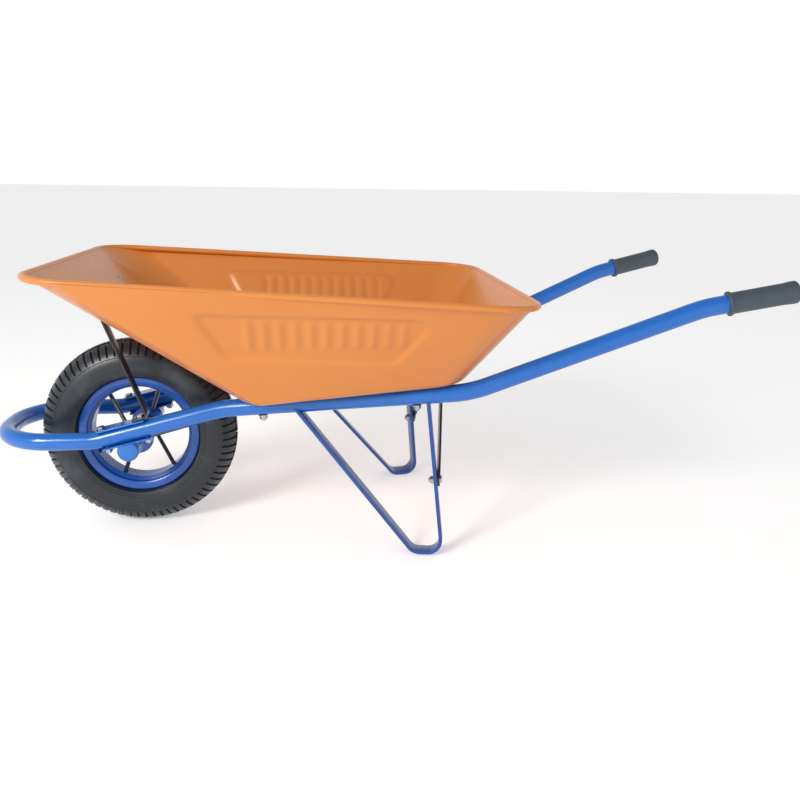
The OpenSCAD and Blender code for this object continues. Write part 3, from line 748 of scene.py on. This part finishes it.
place_piece(make_frame_tube(), TUBE_PAINT, "frame", "tube_paint", "frame_tube")
place_piece(make_tray(), TRAY_PAINT, "frame", "tray_paint", "tray")
for make, made, slot, node in (
    (make_leg, LEG_PAINT, "leg_paint", "leg"),
    (make_stay, STAY_PAINT, "stay_paint", "front_stay"),
    (make_grip, GRIP_PVC, "grip_rubber", "grip"),
    (make_block, BLOCK_PAINT, "block_paint", "axle_block"),
    (make_strap, BLOCK_PAINT, "block_paint", "block_strap"),
):
    right = make()
    left = mirrored(right, node + "_left_visual")
    place_piece(right, made, "frame", slot, node + "_right")
    place_piece(left, made, "frame", slot, node + "_left")
place_piece(make_tyre(), TYRE_RUBBER, "wheel", "tyre", "tyre")
place_piece(make_rim(), RIM_PAINT, "wheel", "rim_paint", "rim")

BY_SLOT = {
    "stay_paint": STAY_PAINT, "zinc": ZINC, "wire": DRAWN_WIRE, "bush": NYLON, "spoke_paint": SPOKE_PAINT,
    "rim_paint": RIM_PAINT, "axle_steel": AXLE_STEEL, "inner_tube": BUTYL, "valve_rubber": BUTYL,
    "tube_paint": TUBE_PAINT, "tray_paint": TRAY_PAINT, "leg_paint": LEG_PAINT, "grip_rubber": GRIP_PVC,
    "block_paint": BLOCK_PAINT, "tyre": TYRE_RUBBER,
}
for part in frame["record"]["subparts"]:
    repaint(part["node"], BY_SLOT[part["material_slot"]])


# ---- Studio ----

def make_floor():
    bpy.ops.mesh.primitive_plane_add(size=80, location=(0, 0, 0))
    floor = bpy.context.object
    floor.name = "floor"
    pale = material("studio_floor", "F4F4F4", "F8F8F8", 0.9, 0.02, blotch=1.0)
    shader = pale.node_tree.nodes["Principled BSDF"]
    shader.inputs["Emission Color"].default_value = (1, 1, 1, 1)
    shader.inputs["Emission Strength"].default_value = 0.3
    paint(floor, pale)


def make_lamp(name, place, target, size, power, colour=(1, 1, 1)):
    lamp = bpy.data.lights.new(name, "AREA")
    lamp.shape = "RECTANGLE"
    lamp.size, lamp.size_y = size
    lamp.energy = power
    lamp.color = colour
    stand = bpy.data.objects.new(name, lamp)
    bpy.context.scene.collection.objects.link(stand)
    stand.location = place
    stand.rotation_euler = (Vector(target) - Vector(place)).to_track_quat("-Z", "Y").to_euler()


def make_world():
    """White round the horizon and dimmer overhead, like a hall with tall windows."""
    world = bpy.data.worlds.new("studio")
    world.use_nodes = True
    tree = world.node_tree
    toward = add(tree, "ShaderNodeTexCoord").outputs["Generated"]
    height = add(tree, "ShaderNodeSeparateXYZ", {"Vector": toward}).outputs["Z"]
    level = add(tree, "ShaderNodeMapRange", {
        "Value": height, "From Min": 0.2, "From Max": 0.8, "To Min": 1.0, "To Max": 0.42})
    tree.links.new(level.outputs["Result"], tree.nodes["Background"].inputs["Strength"])
    tree.nodes["Background"].inputs["Color"].default_value = (1, 1, 1, 1)
    bpy.context.scene.world = world


CAMERA_PLACE = Vector((AXLE.x + 0.3419, -1.5067, 0.6738))
CAMERA_YAW, CAMERA_PITCH, CAMERA_ROLL = (math.radians(a) for a in (6.3947, 16.0757, 0.8712))


def make_camera():
    sin, cos = math.sin, math.cos
    yaw, pitch, roll = CAMERA_YAW, CAMERA_PITCH, CAMERA_ROLL
    ahead = Vector((sin(yaw) * cos(pitch), cos(yaw) * cos(pitch), -sin(pitch)))
    level = Vector((cos(yaw), -sin(yaw), 0))
    up = level.cross(ahead)
    right = cos(roll) * level + sin(roll) * up
    top = cos(roll) * up - sin(roll) * level
    camera = bpy.data.cameras.new("camera")
    camera.lens, camera.sensor_width = 35.01, 36
    stand = bpy.data.objects.new("camera", camera)
    stand.matrix_world = Matrix.Translation(CAMERA_PLACE) @ Matrix((right, top, -ahead)).transposed().to_4x4()
    bpy.context.scene.collection.objects.link(stand)
    bpy.context.scene.camera = stand


make_floor()
make_world()
make_lamp("window", (-1.9, -2.0, 1.7), (0, 0, 0.3), (0.9, 0.9), 58, (1, 0.98, 0.95))
make_camera()
bpy.context.scene.view_settings.view_transform = "Standard"
